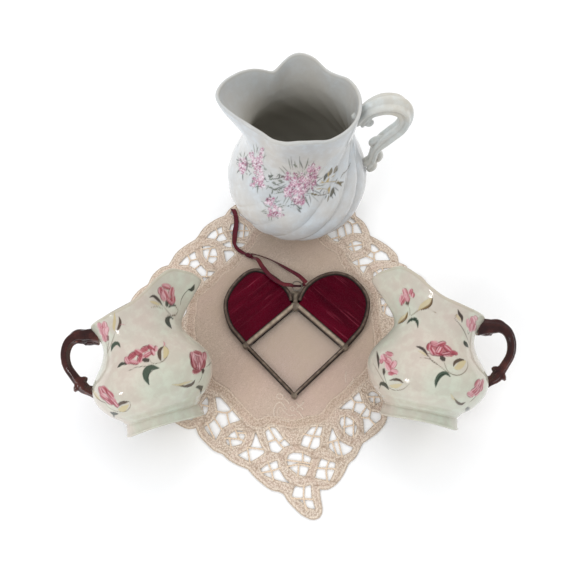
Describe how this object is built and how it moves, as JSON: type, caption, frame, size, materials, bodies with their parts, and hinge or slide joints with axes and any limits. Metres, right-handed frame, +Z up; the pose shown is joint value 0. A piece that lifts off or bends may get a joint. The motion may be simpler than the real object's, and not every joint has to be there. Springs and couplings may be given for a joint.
{
  "type": "tea_table_group",
  "caption": "Lace-edged linen doily carrying a white floral cream jug, two rose-painted pitchers lying on their sides, and a leaded red and clear glass heart on a burgundy ribbon",
  "frame": {"origin": "middle of the doily, on its underside", "axes": "-Y is the front corner of the doily, nearest the viewer; +Y runs back to the standing jug; +X is the viewer's right; +Z is up"},
  "size_m": [0.2644, 0.2727, 0.1137],
  "materials": {
    "linen_centre": "plain weave",
    "hem_tape": "woven cotton tape and thread",
    "lace_border": "woven cotton tape and thread",
    "jug_body": "gloss white glaze with painted blossom",
    "jug_handle": "gloss white glaze",
    "left_pitcher_body": "gloss cream glaze with painted roses",
    "right_pitcher_body": "gloss cream glaze with painted roses",
    "left_pitcher_handle": "gloss brown glaze",
    "right_pitcher_handle": "gloss brown glaze",
    "red_glass_left": "rippled crimson, see-through",
    "red_glass_right": "rippled crimson, see-through",
    "clear_glass": "clear",
    "came_inner_left": "dull grey lead",
    "came_inner_right": "dull grey lead",
    "came_lobe_left": "dark patinated lead",
    "came_lobe_right": "dark patinated lead",
    "came_lower_left": "dark patinated lead",
    "came_lower_right": "dark patinated lead",
    "solder_joint_cleft": "dark patinated solder",
    "solder_joint_left": "dark patinated solder",
    "solder_joint_right": "dark patinated solder",
    "solder_joint_tip": "dark patinated solder",
    "hanging_ring": "tinned wire",
    "ribbon_loop": "burgundy satin ribbon",
    "ribbon_strand_left": "burgundy satin ribbon",
    "ribbon_strand_right": "burgundy satin ribbon",
    "ribbon_knot": "burgundy satin ribbon",
    "ribbon_tail": "burgundy satin ribbon"
  },
  "bodies": {
    "doily": {"linen_centre": "linen_centre", "hem_tape": "hem_tape", "lace_border": "lace_border"},
    "jug": {"jug_body": "jug_body", "jug_handle": "jug_handle"},
    "left_pitcher": {"left_pitcher_body": "left_pitcher_body", "left_pitcher_handle": "left_pitcher_handle"},
    "right_pitcher": {"right_pitcher_body": "right_pitcher_body", "right_pitcher_handle": "right_pitcher_handle"},
    "heart": {"red_glass_left": "red_glass_left", "red_glass_right": "red_glass_right", "clear_glass": "clear_glass", "came_lobe_left": "came_lobe_left", "came_lobe_right": "came_lobe_right", "came_inner_left": "came_inner_left", "came_inner_right": "came_inner_right", "came_lower_left": "came_lower_left", "came_lower_right": "came_lower_right", "solder_joint_cleft": "solder_joint_cleft", "solder_joint_left": "solder_joint_left", "solder_joint_right": "solder_joint_right", "solder_joint_tip": "solder_joint_tip", "hanging_ring": "hanging_ring", "ribbon_loop": "ribbon_loop"},
    "ribbon": {"ribbon_strand_left": "ribbon_strand_left", "ribbon_strand_right": "ribbon_strand_right", "ribbon_knot": "ribbon_knot", "ribbon_tail": "ribbon_tail"}
  },
  "joints": [
    {"name": "jug_lift", "type": "slide", "parent": "doily", "child": "jug", "axis": [0, 0, 1], "range_m": [0, 0.13]},
    {"name": "left_pitcher_lift", "type": "slide", "parent": "doily", "child": "left_pitcher", "axis": [0, 0, 1], "range_m": [0, 0.13]},
    {"name": "right_pitcher_lift", "type": "slide", "parent": "doily", "child": "right_pitcher", "axis": [0, 0, 1], "range_m": [0, 0.13]},
    {"name": "heart_lift", "type": "slide", "parent": "doily", "child": "heart", "axis": [-0.0995, -0.3075, 0.9463], "range_m": [0, 0.05]},
    {"name": "ribbon_swing", "type": "hinge", "parent": "heart", "child": "ribbon", "pos_m": [0.001, 0.0213, 0.0083], "axis": [0.9848, -0.1736, 0], "range_deg": [0, 90]}
  ]
}
